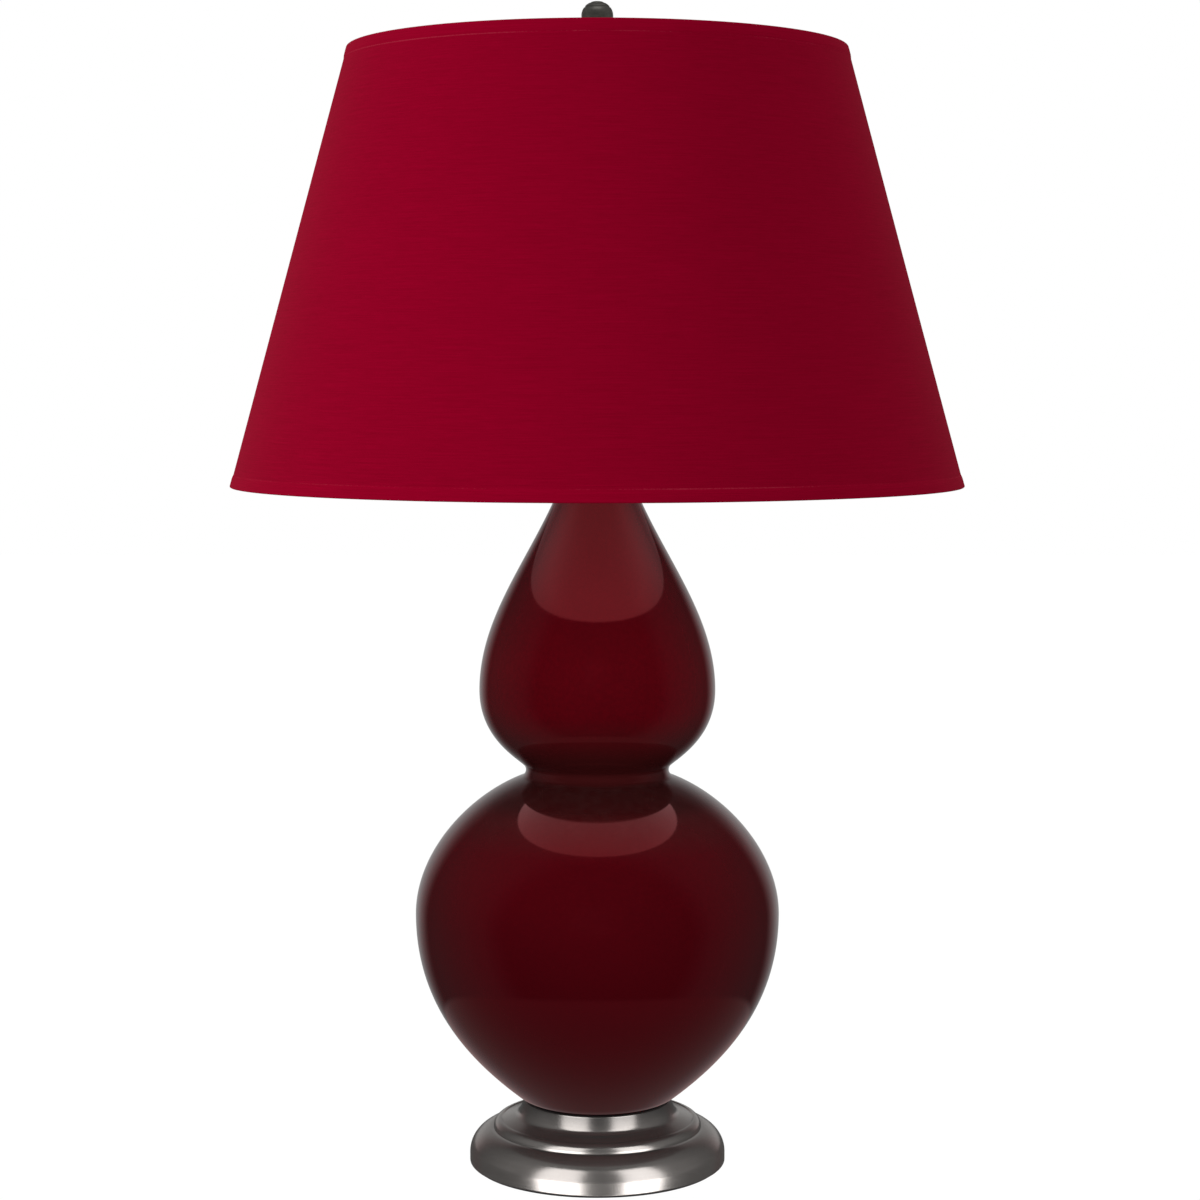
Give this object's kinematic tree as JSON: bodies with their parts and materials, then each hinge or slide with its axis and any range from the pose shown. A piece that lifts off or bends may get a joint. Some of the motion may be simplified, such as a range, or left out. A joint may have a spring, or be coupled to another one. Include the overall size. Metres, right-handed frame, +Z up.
{
  "type": "table lamp",
  "caption": "Double gourd table lamp: glazed body on a stepped metal base, with a tapered fabric shade carried by a harp, a bulb socket and a turned finial.",
  "frame": {"origin": "centre of the lamp's underside, on the table", "axes": "+Z up along the lamp's axis, -Y towards the viewer and the switch key, +Y towards the cord inlet, +X to the viewer's right"},
  "size_m": [0.4913, 0.4914, 0.787],
  "materials": {
    "glaze": "deep oxblood gloss glaze",
    "spun_metal": "satin antique silver",
    "dark_metal": "dark bronze",
    "nickel": "satin nickel",
    "brass": "plain brass",
    "iron": "raw cast iron",
    "zinc_steel": "zinc plated steel",
    "felt": "black felt",
    "rubber": "black rubber",
    "black_plastic": "moulded black plastic",
    "card": "brown insulating card",
    "crimson_fabric": "fine woven crimson cloth",
    "styrene": "white styrene backing",
    "white_wire": "white enamelled wire",
    "frosted_glass": "frosted white",
    "dark_glass": "dark insulating glass",
    "solder": "solder"
  },
  "bodies": {
    "lamp": {"base_felt": "felt", "base_plinth": "spun_metal", "cord_bushing": "black_plastic", "base_weight": "iron", "base_washer": "zinc_steel", "base_nut": "zinc_steel", "lamp_pipe": "zinc_steel", "foot_gasket": "rubber", "gourd_body": "glaze", "neck_gasket": "rubber", "vase_cap": "spun_metal", "neck_nut": "zinc_steel", "neck_sleeve": "spun_metal", "harp_saddle": "nickel", "saddle_nut": "zinc_steel", "harp": "nickel", "socket_cap": "brass", "socket_shell": "brass", "insulating_sleeve": "card", "socket_core": "black_plastic", "terminal_screws": "brass", "screw_shell": "brass", "centre_contact": "brass"},
    "shade": {"harp_stud": "nickel", "shade_spider": "white_wire", "shade_bottom_ring": "white_wire", "shade_liner": "styrene", "shade_skin": "crimson_fabric", "shade_top_hem": "crimson_fabric", "shade_bottom_hem": "crimson_fabric", "shade_back_seam": "crimson_fabric"},
    "finial": {"finial": "dark_metal"},
    "switch_key": {"switch_key": "black_plastic"},
    "harp_sleeve_left": {"harp_sleeve_left": "nickel"},
    "harp_sleeve_right": {"harp_sleeve_right": "nickel"},
    "bulb": {"bulb_tip": "solder", "bulb_insulator": "dark_glass", "bulb_screw_base": "zinc_steel", "bulb_globe": "frosted_glass"}
  },
  "joints": [
    {"name": "shade_swivel", "type": "hinge", "parent": "lamp", "child": "shade", "pos_m": [0, 0, 0.7394], "axis": [0, 0, 1], "continuous": true},
    {"name": "finial_turn", "type": "hinge", "parent": "shade", "child": "finial", "pos_m": [0, 0, 0.744], "axis": [0, 0, 1], "continuous": true},
    {"name": "switch_turn", "type": "hinge", "parent": "lamp", "child": "switch_key", "pos_m": [0, -0.02, 0.5198], "axis": [0, -1, 0], "continuous": true},
    {"name": "bulb_turn", "type": "hinge", "parent": "lamp", "child": "bulb", "pos_m": [0, 0, 0.5323], "axis": [0, 0, 1], "continuous": true},
    {"name": "left_sleeve_lift", "type": "slide", "parent": "lamp", "child": "harp_sleeve_left", "axis": [0, 0, 1], "range_m": [0, 0.013]},
    {"name": "right_sleeve_lift", "type": "slide", "parent": "lamp", "child": "harp_sleeve_right", "axis": [0, 0, 1], "range_m": [0, 0.013]}
  ]
}
